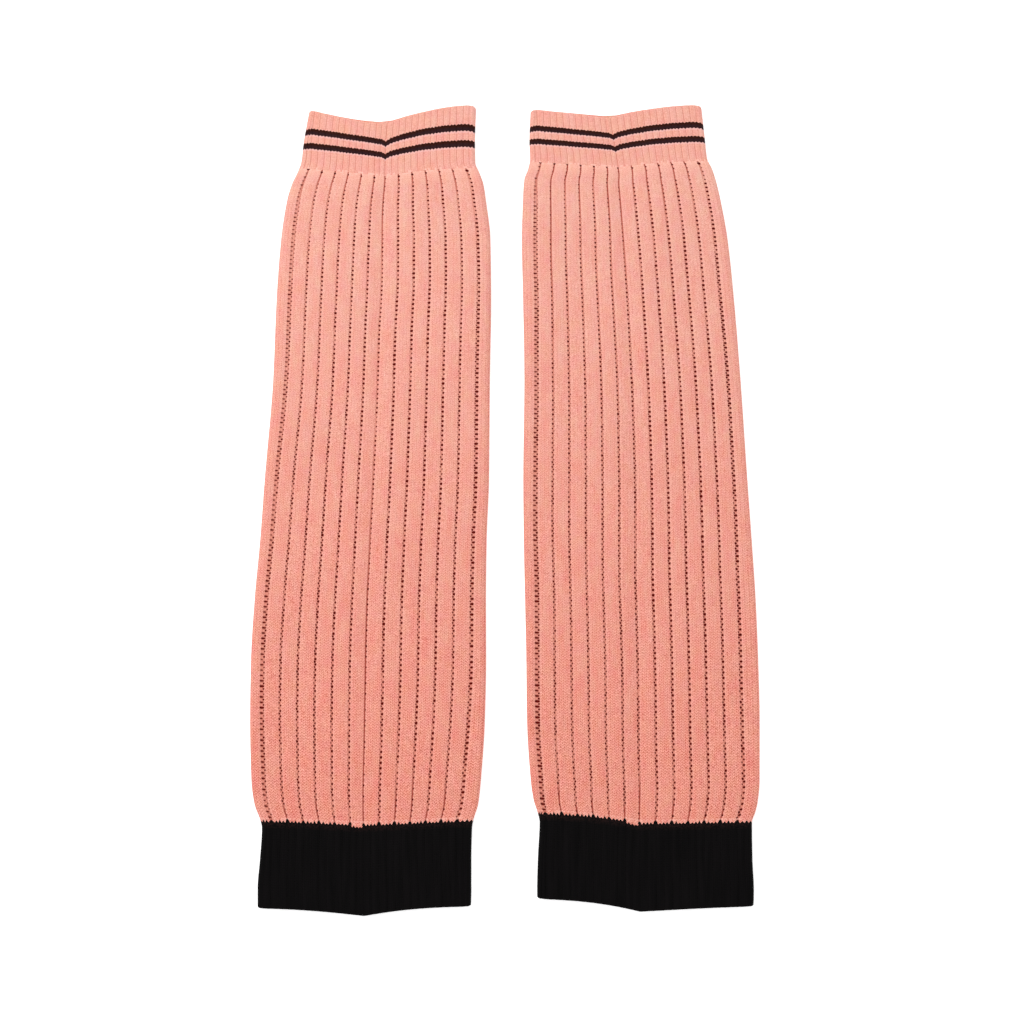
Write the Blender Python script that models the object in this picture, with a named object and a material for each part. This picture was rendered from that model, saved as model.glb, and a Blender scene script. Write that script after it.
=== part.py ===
"""A pair of ribbed knit leg warmers, laid flat side by side.

Each leg warmer is one knitted tube pressed flat. It has three pieces: an elastic ribbed cuff, a long
body of wide ribs parted by ladder columns, and a ribbed band at the hem. Each piece is a cloth wall,
lofted through rings that are worked out from the tables below. The tubes lie along Y with their cuffs
at +Y, their undersides flat on Z = 0, and the ribs raised on the upper layer only.
"""

import math
from collections import namedtuple

import bmesh
import bpy

MM = 0.001                  # every size below is in millimetres

# The cloth.
PAIR_MIDDLE = 225.2         # from the highest cuff edge down to the middle of the pair's length
WALL = 1.8                  # thickness of the knitted wall under its ribs
RIB_RISE = 0.5              # how far a rib of the body stands out of its grooves
FINE_RIB_RISE = 0.35        # the same on the cuff and the band
CROWN_RISE = 0.15           # how far the middle of a body rib rises over its shoulders
LADDER_WIDTH = 2.0          # width of the groove that a ladder column leaves
OUTER_RIB = 0.003           # how much wider the outermost whole ribs are, as a part of the tube's width
SEAM_GAP = 0.3              # space between two pieces where they are joined

# The folds.
CREASE_REACH = 5.0          # how far the slopes of the pressed middle crease reach to either side
CORNER_REACH = 1.6          # how far a corner's rounding reaches in from the folded side

# The rings.
SIDE_STEPS = 3              # steps round a quarter of each folded side, outside
INNER_SIDE_STEPS = 1        # the same inside
INNER_TOP_POINTS = 13       # points between the sides on the inside of the upper layer
UNDERSIDE_POINTS = 7        # points between the sides on the lower layer, inside and outside
LADDERS = 13                # ladder columns on the upper layer
CREASE_LADDER = 7           # the one that lies in the crease
SHARP_ANGLE = 50.0          # faces that meet more sharply than this, in degrees, are shaded apart

# The folded sides of each tube, down its length. down: distance below the highest cuff edge.
# left, right: the two sides, measured from the line midway between the leg warmers.
Side = namedtuple("Side", "down left right")
SIDES = {
    "left": (
        Side(0.0, -108.4, -16.0),
        Side(19.5, -111.7, -16.6),
        Side(31.7, -113.1, -16.4),
        Side(37.2, -115.1, -14.2),
        Side(43.9, -118.2, -11.9),
        Side(52.8, -120.8, -10.5),
        Side(75.0, -124.2, -8.0),
        Side(108.3, -126.7, -7.6),
        Side(152.7, -128.6, -8.3),
        Side(208.2, -133.3, -8.8),
        Side(241.5, -135.8, -10.1),
        Side(274.8, -138.9, -10.5),
        Side(308.1, -140.9, -10.4),
        Side(341.4, -141.4, -11.1),
        Side(374.7, -140.7, -13.3),
        Side(388.0, -139.0, -14.8),
        Side(396.9, -135.8, -17.5),
        Side(401.3, -134.9, -18.2),
        Side(419.1, -136.0, -18.6),
        Side(435.7, -137.3, -18.6),
        Side(450.0, -137.3, -18.9),
    ),
    "right": (
        Side(0.0, 14.3, 109.2),
        Side(19.5, 13.6, 111.2),
        Side(29.5, 14.0, 112.3),
        Side(35.0, 13.0, 114.9),
        Side(41.7, 10.7, 117.1),
        Side(52.8, 10.0, 119.7),
        Side(75.0, 9.4, 123.7),
        Side(108.3, 10.1, 127.2),
        Side(152.7, 10.8, 130.8),
        Side(208.2, 10.2, 134.6),
        Side(241.5, 10.5, 137.0),
        Side(274.8, 11.2, 139.2),
        Side(308.1, 11.9, 140.6),
        Side(341.4, 12.3, 141.4),
        Side(374.7, 14.4, 141.4),
        Side(385.8, 16.0, 140.5),
        Side(392.4, 18.1, 139.1),
        Side(398.0, 19.3, 137.2),
        Side(419.1, 18.3, 137.5),
        Side(436.8, 17.9, 138.3),
        Side(450.0, 18.1, 138.0),
    ),
}

# The courses, the rows of knitting that cross each tube.
#   down        where the course would lie if it were straight, below the highest cuff edge
#   left, right how much lower than that it meets each folded side
#   dip, back   how much lower it runs at the crease, on the upper and on the lower layer
#   bow_left    how it runs to that dip from the left: 1 straight, above 1 flat and then steep, below 1
#               steep and then flat
#   bow_right   the same from the right
#   corner      how much it turns down just at the folded sides; below 0, up
#   height      the pressed tube's height over its ribs
#   fold        how deep the crease is pressed
Course = namedtuple("Course", "down left right dip back bow_left bow_right corner height fold")
COURSES = {
    "left": (
        Course(1.5, 0.7, -1.5, 9.4, 8.1, 0.62, 2.0, 2.2, 4.8, 0.3),
        Course(10.0, 1.0, -1.2, 8.0, 6.8, 1.0, 2.3, 1.8, 4.8, 0.3),
        Course(35.4, 0.0, 0.0, 4.5, 4.0, 1.2, 2.2, 0.2, 5.2, 0.4),
        Course(60.0, 0.0, 0.0, 4.3, 3.9, 1.2, 2.2, 0.0, 6.4, 0.9),
        Course(197.0, 0.0, 0.0, 3.7, 3.4, 1.3, 1.8, 0.0, 6.4, 0.9),
        Course(374.7, 0.0, 0.0, 2.6, 2.4, 1.4, 1.4, 0.0, 6.2, 0.8),
        Course(397.5, 0.2, -0.1, 2.4, 2.2, 1.4, 1.2, 0.0, 5.4, 0.5),
        Course(445.4, 0.6, -0.5, 4.7, 4.5, 1.7, 2.3, -1.0, 4.8, 0.4),
    ),
    "right": (
        Course(1.0, 1.2, -1.0, 6.4, 5.1, 1.0, 2.3, 2.0, 4.8, 0.3),
        Course(10.0, 0.9, -0.8, 5.5, 4.6, 1.05, 2.3, 1.6, 4.8, 0.3),
        Course(31.7, 0.2, -0.3, 3.3, 3.0, 1.1, 2.2, 0.2, 5.2, 0.4),
        Course(60.0, 0.0, 0.0, 3.3, 3.0, 1.3, 2.0, 0.0, 6.4, 0.9),
        Course(197.0, -0.6, 0.6, 3.2, 3.0, 1.6, 1.6, 0.0, 6.4, 0.9),
        Course(374.7, -2.2, 2.2, 3.3, 3.1, 2.4, 1.2, 0.0, 6.2, 0.8),
        Course(395.7, -2.4, 2.3, 3.5, 3.3, 3.0, 1.0, 0.0, 5.4, 0.5),
        Course(443.0, -2.4, 1.9, 5.1, 4.8, 2.5, 1.2, -1.0, 4.8, 0.4),
    ),
}

# The ribs across each tube, down its length, as parts of its width there.
#   crease      where the crease crosses
#   pinch       the narrowed rib left of the crease
#   left, right a rib further left, and one right of the crease
Ribs = namedtuple("Ribs", "down crease pinch left right")
RIBS = {
    "left": (
        Ribs(2.0, 0.470, 0.062, 0.0735, 0.0755),
        Ribs(35.0, 0.482, 0.059, 0.0725, 0.0748),
        Ribs(60.0, 0.482, 0.062, 0.0714, 0.0755),
        Ribs(97.0, 0.487, 0.067, 0.0708, 0.0752),
        Ribs(125.0, 0.481, 0.064, 0.0700, 0.0758),
        Ribs(208.0, 0.483, 0.066, 0.0718, 0.0757),
        Ribs(264.0, 0.486, 0.065, 0.0730, 0.0750),
        Ribs(319.0, 0.488, 0.067, 0.0733, 0.0740),
        Ribs(375.0, 0.488, 0.063, 0.0731, 0.0722),
        Ribs(400.0, 0.485, 0.062, 0.0732, 0.0726),
        Ribs(445.0, 0.500, 0.063, 0.0740, 0.0740),
    ),
    "right": (
        Ribs(2.0, 0.468, 0.060, 0.0735, 0.0755),
        Ribs(32.0, 0.494, 0.061, 0.0735, 0.0734),
        Ribs(60.0, 0.494, 0.061, 0.0728, 0.0732),
        Ribs(97.0, 0.496, 0.070, 0.0717, 0.0723),
        Ribs(153.0, 0.498, 0.068, 0.0742, 0.0730),
        Ribs(197.0, 0.500, 0.071, 0.0742, 0.0724),
        Ribs(236.0, 0.491, 0.071, 0.0731, 0.0730),
        Ribs(264.0, 0.482, 0.070, 0.0712, 0.0733),
        Ribs(319.0, 0.479, 0.067, 0.0726, 0.0731),
        Ribs(375.0, 0.476, 0.067, 0.0722, 0.0748),
        Ribs(400.0, 0.473, 0.067, 0.0736, 0.0752),
        Ribs(443.0, 0.475, 0.069, 0.0725, 0.0755),
    ),
}

# The pieces of each tube. first, last: the courses that bound it, as rows of its table. rings: rings
# of points down its length. fine: fine ribs, two for each rib of the body.
Piece = namedtuple("Piece", "name first last rings fine")
PIECES = (
    Piece("cuff", 0, 2, 6, True),
    Piece("body", 2, 6, 26, False),
    Piece("band", 6, 7, 6, True),
)

# Colour as linear red, green and blue, then roughness.
FINISHES = {
    "cuff": ("salmon_rib_knit", (0.88, 0.37, 0.29), 0.85),
    "body": ("salmon_ladder_knit", (0.82, 0.31, 0.24), 0.85),
    "band": ("black_rib_knit", (0.012, 0.010, 0.011), 0.80),
}


def smooth(rows, column, down):
    """Read one column of a table at a distance down the tube, along a curve that never overshoots."""
    at = [row.down for row in rows]
    value = [getattr(row, column) for row in rows]
    if down <= at[0]:
        return value[0]
    if down >= at[-1]:
        return value[-1]
    run = [after - before for before, after in zip(at, at[1:])]
    slope = [(after - before) / length for before, after, length in zip(value, value[1:], run)]
    tangent = [slope[0]]
    for before, after in zip(slope, slope[1:]):
        same_way = before * after > 0
        tangent.append(2 * before * after / (before + after) if same_way else 0.0)
    tangent.append(slope[-1])
    i = max(k for k in range(len(run)) if at[k] <= down)
    t = (down - at[i]) / run[i]
    return (
        value[i] * (1 + 2 * t) * (1 - t) ** 2
        + tangent[i] * run[i] * t * (1 - t) ** 2
        + value[i + 1] * t * t * (3 - 2 * t)
        - tangent[i + 1] * run[i] * t * t * (1 - t)
    )


def row_at(rows, down):
    """Every column of a table at a distance down the tube."""
    kind = type(rows[0])
    return kind(down, *(smooth(rows, column, down) for column in kind._fields[1:]))


def bow(share, shape):
    """How much of its dip a course has, at a share of the way from a folded side to the crease."""
    share = max(share, 0.0)
    if shape >= 1:
        return share**shape
    return 1 - (1 - share) ** (1 / shape)


def ladder_places(ribs):
    """Where the ladder columns cross the tube, as parts of its width, from left to right."""
    beside_crease = ribs.crease - ribs.pinch
    left = [beside_crease - ribs.left * step for step in range(CREASE_LADDER - 2, -1, -1)]
    right = [ribs.crease + ribs.right * step for step in range(1, LADDERS - CREASE_LADDER + 1)]
    left[0] -= OUTER_RIB
    right[-1] += OUTER_RIB
    return left + [ribs.crease] + right


def groove_places(ribs, fine):
    """Where the grooves between the ribs cross the tube; fine ribs have one between the ladders too."""
    ladders = ladder_places(ribs)
    if not fine:
        return ladders
    places = [ladders[0] / 2]
    for before, after in zip(ladders, ladders[1:]):
        places += [before, (before + after) / 2]
    return places + [ladders[-1], (ladders[-1] + 1) / 2]


class Tube:
    """One ring of a pressed tube, at a course of the table."""

    def __init__(self, leg, down, fine):
        self.course = row_at(COURSES[leg], down)
        self.ribs = row_at(RIBS[leg], down)
        self.fine = fine
        self.left = smooth(SIDES[leg], "left", down + self.course.left)
        self.right = smooth(SIDES[leg], "right", down + self.course.right)
        self.width = self.right - self.left
        self.crease_x = self.left + self.ribs.crease * self.width
        self.rise = FINE_RIB_RISE if fine else RIB_RISE

    def point(self, x, z, back):
        """A point of the ring: x across, z up, and y where the course runs on that layer."""
        course = self.course
        across = (x - self.left) / self.width
        if x < self.crease_x:
            bowed = bow((x - self.left) / (self.crease_x - self.left), course.bow_left)
        else:
            bowed = bow((self.right - x) / (self.right - self.crease_x), course.bow_right)
        from_side = min(x - self.left, self.right - x)
        lower = course.left + (course.right - course.left) * across
        lower += (course.back if back else course.dip) * bowed
        lower += course.corner * math.exp(-from_side / CORNER_REACH)
        return x, PAIR_MIDDLE - course.down - lower, z

    def crease(self, x):
        """How deep the crease is at x."""
        return self.course.fold * math.exp(-(((x - self.crease_x) / CREASE_REACH) ** 2))

    def upper_outside(self):
        """The ribs of the upper layer: each groove, its shoulders and the crown of the next rib."""
        top = self.course.height - CROWN_RISE
        places = [self.left + place * self.width for place in groove_places(self.ribs, self.fine)]
        row = []
        for i, x in enumerate(places):
            following = places[i + 1] if i + 1 < len(places) else None
            if self.fine:
                row.append((x, top - self.rise))
            else:
                row += [(x - LADDER_WIDTH / 2, top), (x, top - self.rise), (x + LADDER_WIDTH / 2, top)]
            if following:
                row.append(((x + following) / 2, top + CROWN_RISE))
        return [(x, z - self.crease(x)) for x, z in row]

    def plain_row(self, count, left, right, level, creased):
        """Points spread evenly from the left to the crease and from there to the right."""
        half = count // 2
        row = [left + (self.crease_x - left) * step / (half + 1) for step in range(1, half + 2)]
        row += [self.crease_x + (right - self.crease_x) * step / (half + 1) for step in range(1, half + 1)]
        return [(x, level - (self.crease(x) if creased else 0.0)) for x in row]

    def ring(self, inset, low, high, side_steps, upper):
        """A closed ring: from the left side over the upper layer to the right side, and back below.

        Each of its points comes with its turn, from 0 at the left side to 1 at the right and 2 at the left.
        """
        radius = (high - low) / 2
        middle = low + radius
        angles = [math.pi / 2 * step / side_steps for step in range(side_steps + 1)]
        arc = [(inset + radius * (1 - math.cos(angle)), radius * math.sin(angle)) for angle in angles]
        left, right = self.left, self.right

        over = [(left + offset, middle + rise) for offset, rise in arc]
        over += upper
        over += [(right - offset, middle + rise) for offset, rise in reversed(arc)]
        level = self.plain_row(UNDERSIDE_POINTS, left + arc[-1][0], right - arc[-1][0], low, False)
        under = [(right - offset, middle - rise) for offset, rise in arc[1:]]
        under += reversed(level)
        under += [(left + offset, middle - rise) for offset, rise in reversed(arc[1:])]

        points = [((x - left) / self.width, self.point(x, z, False)) for x, z in over]
        points += [(2 - (x - left) / self.width, self.point(x, z, True)) for x, z in under]
        return points

    def outer_ring(self):
        high = self.course.height - CROWN_RISE
        return self.ring(0.0, 0.0, high, SIDE_STEPS, self.upper_outside())

    def inner_ring(self):
        high = self.course.height - CROWN_RISE - self.rise - WALL
        arc_end = WALL + (high - WALL) / 2
        upper = self.plain_row(INNER_TOP_POINTS, self.left + arc_end, self.right - arc_end, high, True)
        return self.ring(WALL, WALL, high, INNER_SIDE_STEPS, upper)


def add_ring(mesh, ring):
    """Make a ring's vertices, each with its turn."""
    return [(turn, mesh.verts.new([value * MM for value in point])) for turn, point in ring]


def loft(mesh, rings, outward):
    """Skin a run of rings that have the same number of points."""
    for upper, lower in zip(rings, rings[1:]):
        for i in range(len(upper)):
            j = (i + 1) % len(upper)
            face = [vertex for turn, vertex in (upper[i], lower[i], lower[j], upper[j])]
            mesh.faces.new(face if outward else face[::-1])


def rim(mesh, outer, inner, faces_hem):
    """Close a cloth edge with triangles between two rings with unlike numbers of points."""
    outer_turns = [turn for turn, vertex in outer[1:]] + [2.0]
    inner_turns = [turn for turn, vertex in inner[1:]] + [2.0]
    i = j = 0
    while i < len(outer) or j < len(inner):
        face = [outer[i % len(outer)][1], inner[j % len(inner)][1]]
        if j == len(inner) or (i < len(outer) and outer_turns[i] <= inner_turns[j]):
            i += 1
            face.append(outer[i % len(outer)][1])
        else:
            j += 1
            face.append(inner[j % len(inner)][1])
        mesh.faces.new(face if faces_hem else face[::-1])


def ring_downs(top, bottom, count):
    """Distances down the tube for a piece's rings, closer together toward its two ends."""
    downs = []
    for step in range(count):
        eased = (1 - math.cos(math.pi * step / (count - 1))) / 2
        downs.append(top + (bottom - top) * eased)
    return downs


def knit_material(name, colour, roughness):
    material = bpy.data.materials.new(name)
    material.use_nodes = True
    shader = material.node_tree.nodes["Principled BSDF"]
    shader.inputs["Base Color"].default_value = (*colour, 1.0)
    shader.inputs["Roughness"].default_value = roughness
    shader.inputs["Metallic"].default_value = 0.0
    return material


def make_piece(leg, piece, material, collection):
    """One stretch of one tube, as a closed wall."""
    rows = COURSES[leg]
    top = rows[piece.first].down + (SEAM_GAP / 2 if piece.first > 0 else 0.0)
    bottom = rows[piece.last].down - (SEAM_GAP / 2 if piece.last < len(rows) - 1 else 0.0)
    tubes = [Tube(leg, down, piece.fine) for down in ring_downs(top, bottom, piece.rings)]

    mesh = bmesh.new()
    outer = [add_ring(mesh, tube.outer_ring()) for tube in tubes]
    inner = [add_ring(mesh, tube.inner_ring()) for tube in tubes]
    loft(mesh, outer, True)
    loft(mesh, inner, False)
    rim(mesh, outer[0], inner[0], False)
    rim(mesh, outer[-1], inner[-1], True)

    name = f"{leg}_{piece.name}"
    data = bpy.data.meshes.new(name)
    mesh.to_mesh(data)
    mesh.free()
    data.materials.append(material)
    data.shade_smooth()
    data.set_sharp_from_angle(angle=math.radians(SHARP_ANGLE))
    collection.objects.link(bpy.data.objects.new(name, data))


def main():
    for old in list(bpy.data.objects):
        bpy.data.objects.remove(old)
    collection = bpy.data.collections.new("leg_warmers")
    bpy.context.scene.collection.children.link(collection)
    materials = {name: knit_material(*finish) for name, finish in FINISHES.items()}
    for leg in COURSES:
        for piece in PIECES:
            make_piece(leg, piece, materials[piece.name], collection)


main()
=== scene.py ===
"""The looks of a pair of ribbed knit leg warmers, laid flat side by side.

Each leg warmer is one knitted tube pressed flat: an elastic ribbed cuff with two dark stripes, a long
body of wide ribs parted by ladder columns, and a black ribbed band at the hem. Every piece is a thin
closed shell on its solid's form. Its rows follow the courses of the knitting, and the ladders are real
slots with a pit for each gap that their zigzag thread leaves. The stitches are finer than that, so they
are in the finishes, which read the wales and courses from each shell's own map.
"""

import math
from collections import namedtuple

import bpy
import numpy as np
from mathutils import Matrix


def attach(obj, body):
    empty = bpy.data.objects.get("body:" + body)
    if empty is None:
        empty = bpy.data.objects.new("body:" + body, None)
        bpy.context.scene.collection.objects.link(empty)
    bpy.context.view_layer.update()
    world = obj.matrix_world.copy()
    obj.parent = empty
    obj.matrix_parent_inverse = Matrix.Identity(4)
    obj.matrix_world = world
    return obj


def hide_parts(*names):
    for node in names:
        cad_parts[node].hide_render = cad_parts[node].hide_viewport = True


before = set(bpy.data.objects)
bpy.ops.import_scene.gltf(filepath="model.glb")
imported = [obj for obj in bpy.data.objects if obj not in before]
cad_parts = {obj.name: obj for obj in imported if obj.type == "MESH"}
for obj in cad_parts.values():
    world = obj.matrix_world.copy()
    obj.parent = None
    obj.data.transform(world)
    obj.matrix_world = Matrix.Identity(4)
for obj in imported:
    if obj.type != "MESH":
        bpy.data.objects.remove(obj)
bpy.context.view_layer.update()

MM = 0.001                  # the sizes below are in millimetres
SEED = 7

# The cloth, as in the solids.
PAIR_MIDDLE = 225.2         # from the highest cuff edge down to the middle of the pair's length
WALL = 1.8                  # thickness of the knitted wall under its ribs
RIB_RISE = 0.5              # how far a rib of the body stands out of its grooves
FINE_RIB_RISE = 0.35        # the same on the cuff and the band
CROWN_RISE = 0.15           # how far the middle of a rib rises over its shoulders
OUTER_RIB = 0.003           # how much wider the outermost whole ribs are, as a part of the tube's width
CREASE_REACH = 5.0          # how far the slopes of the pressed middle crease reach to either side
CORNER_REACH = 1.6          # how far a corner's rounding reaches in from the folded side

# How unevenly it lies.
BROAD_PUFF = 0.16           # how high its broad swells are
FINE_PUFF = 0.05            # how high its small ones are
SETTLE_REACH = 12.0         # how far in from the body's joints and the folded sides they rise
FINE_RIB_PUFF = 0.6         # the part of them that a cuff and a band have

# The ladders.
LADDERS = 13                # on each layer
CREASE_LADDER = 7           # the one that lies in the crease
WIDE_LADDERS = (0, 12)      # the two outermost, where a middle thread parts the gaps of the two sides
WALES_PER_RIB = 4           # columns of stitches from one ladder to the next
LAYER_WALES = WALES_PER_RIB * (LADDERS + 1)
SLIT_HALF = 0.32            # half the width of a ladder where its ribs close over it
SLIT_DEPTH = 0.34           # how deep it is there
SLIT_END = 1.25             # where a slit has opened, in lengths of the slit
SLIT_CURVE = 0.7            # below 1, it opens late
CHANNEL_DEPTH = 0.30        # how deep the threads lie that cross a ladder
PIT_DEPTH = 0.55            # how much deeper a gap between two crossings is
PIT_HALF = 0.60             # the part of a ladder's half width that its gaps reach
PIT_BULGE = 0.10            # how much wider a ladder is beside a gap
FULL_PIT = 1.2              # how open a gap is at its deepest
EDGE_SHOULDER = 0.42        # from a ladder's wall to the shoulder of its rib
RIB_SHOULDER = 1.10         # from a ladder's wall to where its rib is level
EDGE_WAVE = 0.06            # how far each stitch along a ladder bulges into it
SLIT_TONE = 0.42            # how much more shaded a closed slit is near the cuff; a gap's floor is 1
LINE_TONE = 0.60            # the same near the band
UNDER_HALF = 0.8            # half the width of a ladder's furrow on the lower layer
UNDER_DEPTH = 0.3           # how deep it is
MAP_SCALE = 0.14            # wales of the map for each millimetre across a ladder
PLAIN_HALF = 0.22           # half the width of the groove that takes a ladder's place in a cuff or band
PLAIN_SHARE = 0.10          # half that groove's share of the map

# The rows.
ROWS_PER_TURN = 4           # rows of points for each turn of a ladder's thread, which takes two courses
LEFT_GAP_ROW = -1           # the row before a turn's left gap, which is two rows long
RIGHT_GAP_ROW = 1           # the same for its right gap
CUFF_COURSES = 32
BAND_COURSES = 34
ROWS_PER_COURSE = 2         # on the cuffs and bands
TOP_REACH = 7.0             # how far below the cuff the body's first courses look looser
JOINT_REACH = 3.0           # how far from its joint a cuff's or a band's ribs have half their height
HEM_ROUNDING = 0.9          # how far in from a free edge its rounding starts
HEM_ROWS = 4                # rows of points in that rounding
HEM_DROP = 0.8              # how far the upper layer's face comes down in it
HEM_LIFT = 0.35             # how far the lower layer's face comes up
SIDE_STEPS = 5              # steps round a quarter of each folded side, outside
INNER_SIDE_STEPS = 2        # the same inside
INNER_POINTS = 13           # points between the sides on the inside, on each layer
INNER_ROWS = 24
COURSE_SAMPLES = 2000       # where the lengths of the courses are added up
SHARP_ANGLE = 75            # faces that meet more sharply than this, in degrees, are shaded apart


def table(kind, rows):
    """Rows of values, each with the names of its kind."""
    return tuple(kind(*row) for row in rows)


# The folded sides of each tube, down its length. down: distance below the highest cuff edge.
# left, right: the two sides, measured from the line midway between the leg warmers.
Side = namedtuple("Side", "down left right")
SIDES = {
    "left": table(Side, (
        (0.0, -108.4, -16.0), (19.5, -111.7, -16.6), (31.7, -113.1, -16.4), (37.2, -115.1, -14.2),
        (43.9, -118.2, -11.9), (52.8, -120.8, -10.5), (75.0, -124.2, -8.0), (108.3, -126.7, -7.6),
        (152.7, -128.6, -8.3), (208.2, -133.3, -8.8), (241.5, -135.8, -10.1), (274.8, -138.9, -10.5),
        (308.1, -140.9, -10.4), (341.4, -141.4, -11.1), (374.7, -140.7, -13.3), (388.0, -139.0, -14.8),
        (396.9, -135.8, -17.5), (401.3, -134.9, -18.2), (419.1, -136.0, -18.6), (435.7, -137.3, -18.6),
        (450.0, -137.3, -18.9),
    )),
    "right": table(Side, (
        (0.0, 14.3, 109.2), (19.5, 13.6, 111.2), (29.5, 14.0, 112.3), (35.0, 13.0, 114.9),
        (41.7, 10.7, 117.1), (52.8, 10.0, 119.7), (75.0, 9.4, 123.7), (108.3, 10.1, 127.2),
        (152.7, 10.8, 130.8), (208.2, 10.2, 134.6), (241.5, 10.5, 137.0), (274.8, 11.2, 139.2),
        (308.1, 11.9, 140.6), (341.4, 12.3, 141.4), (374.7, 14.4, 141.4), (385.8, 16.0, 140.5),
        (392.4, 18.1, 139.1), (398.0, 19.3, 137.2), (419.1, 18.3, 137.5), (436.8, 17.9, 138.3),
        (450.0, 18.1, 138.0),
    )),
}

# The courses, the rows of knitting that cross each tube.
#   down        where the course would lie if it were straight, below the highest cuff edge
#   left, right how much lower than that it meets each folded side
#   dip, back   how much lower it runs at the crease, on the upper and on the lower layer
#   bow_left    how it runs to that dip from the left: 1 straight, above 1 flat and then steep, below 1
#               steep and then flat
#   bow_right   the same from the right
#   corner      how much it turns down just at the folded sides; below 0, up
#   height      the pressed tube's height over its ribs
#   fold        how deep the crease is pressed
Course = namedtuple("Course", "down left right dip back bow_left bow_right corner height fold")
COURSES = {
    "left": table(Course, (
        (1.5, 0.7, -1.5, 9.4, 8.1, 0.62, 2.0, 2.2, 4.8, 0.3),
        (10.0, 1.0, -1.2, 8.0, 6.8, 1.0, 2.3, 1.8, 4.8, 0.3),
        (35.4, 0.0, 0.0, 4.5, 4.0, 1.2, 2.2, 0.2, 5.2, 0.4),
        (60.0, 0.0, 0.0, 4.3, 3.9, 1.2, 2.2, 0.0, 6.4, 0.9),
        (197.0, 0.0, 0.0, 3.7, 3.4, 1.3, 1.8, 0.0, 6.4, 0.9),
        (374.7, 0.0, 0.0, 2.6, 2.4, 1.4, 1.4, 0.0, 6.2, 0.8),
        (397.5, 0.2, -0.1, 2.4, 2.2, 1.4, 1.2, 0.0, 5.4, 0.5),
        (445.4, 0.6, -0.5, 4.7, 4.5, 1.7, 2.3, -1.0, 4.8, 0.4),
    )),
    "right": table(Course, (
        (1.0, 1.2, -1.0, 6.4, 5.1, 1.0, 2.3, 2.0, 4.8, 0.3),
        (10.0, 0.9, -0.8, 5.5, 4.6, 1.05, 2.3, 1.6, 4.8, 0.3),
        (31.7, 0.2, -0.3, 3.3, 3.0, 1.1, 2.2, 0.2, 5.2, 0.4),
        (60.0, 0.0, 0.0, 3.3, 3.0, 1.3, 2.0, 0.0, 6.4, 0.9),
        (197.0, -0.6, 0.6, 3.2, 3.0, 1.6, 1.6, 0.0, 6.4, 0.9),
        (374.7, -2.2, 2.2, 3.3, 3.1, 2.4, 1.2, 0.0, 6.2, 0.8),
        (395.7, -2.4, 2.3, 3.5, 3.3, 3.0, 1.0, 0.0, 5.4, 0.5),
        (443.0, -2.4, 1.9, 5.1, 4.8, 2.5, 1.2, -1.0, 4.8, 0.4),
    )),
}

# The ribs across each tube, down its length, as parts of its width there.
#   crease      where the crease crosses
#   pinch       the narrowed rib left of the crease
#   left, right a rib further left, and one right of the crease
Ribs = namedtuple("Ribs", "down crease pinch left right")
RIBS = {
    "left": table(Ribs, (
        (2.0, 0.470, 0.062, 0.0735, 0.0755), (35.0, 0.482, 0.059, 0.0725, 0.0748),
        (60.0, 0.482, 0.062, 0.0714, 0.0755), (97.0, 0.487, 0.067, 0.0708, 0.0752),
        (125.0, 0.481, 0.064, 0.0700, 0.0758), (208.0, 0.483, 0.066, 0.0718, 0.0757),
        (264.0, 0.486, 0.065, 0.0730, 0.0750), (319.0, 0.488, 0.067, 0.0733, 0.0740),
        (375.0, 0.488, 0.063, 0.0731, 0.0722), (400.0, 0.485, 0.062, 0.0732, 0.0726),
        (445.0, 0.500, 0.063, 0.0740, 0.0740),
    )),
    "right": table(Ribs, (
        (2.0, 0.468, 0.060, 0.0735, 0.0755), (32.0, 0.494, 0.061, 0.0735, 0.0734),
        (60.0, 0.494, 0.061, 0.0728, 0.0732), (97.0, 0.496, 0.070, 0.0717, 0.0723),
        (153.0, 0.498, 0.068, 0.0742, 0.0730), (197.0, 0.500, 0.071, 0.0742, 0.0724),
        (236.0, 0.491, 0.071, 0.0731, 0.0730), (264.0, 0.482, 0.070, 0.0712, 0.0733),
        (319.0, 0.479, 0.067, 0.0726, 0.0731), (375.0, 0.476, 0.067, 0.0722, 0.0748),
        (400.0, 0.473, 0.067, 0.0736, 0.0752), (443.0, 0.475, 0.069, 0.0725, 0.0755),
    )),
}
CUFF_EDGE, CUFF_END, BAND_START, BAND_EDGE = 0, 2, 6, 7   # rows of the courses that bound the pieces

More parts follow.
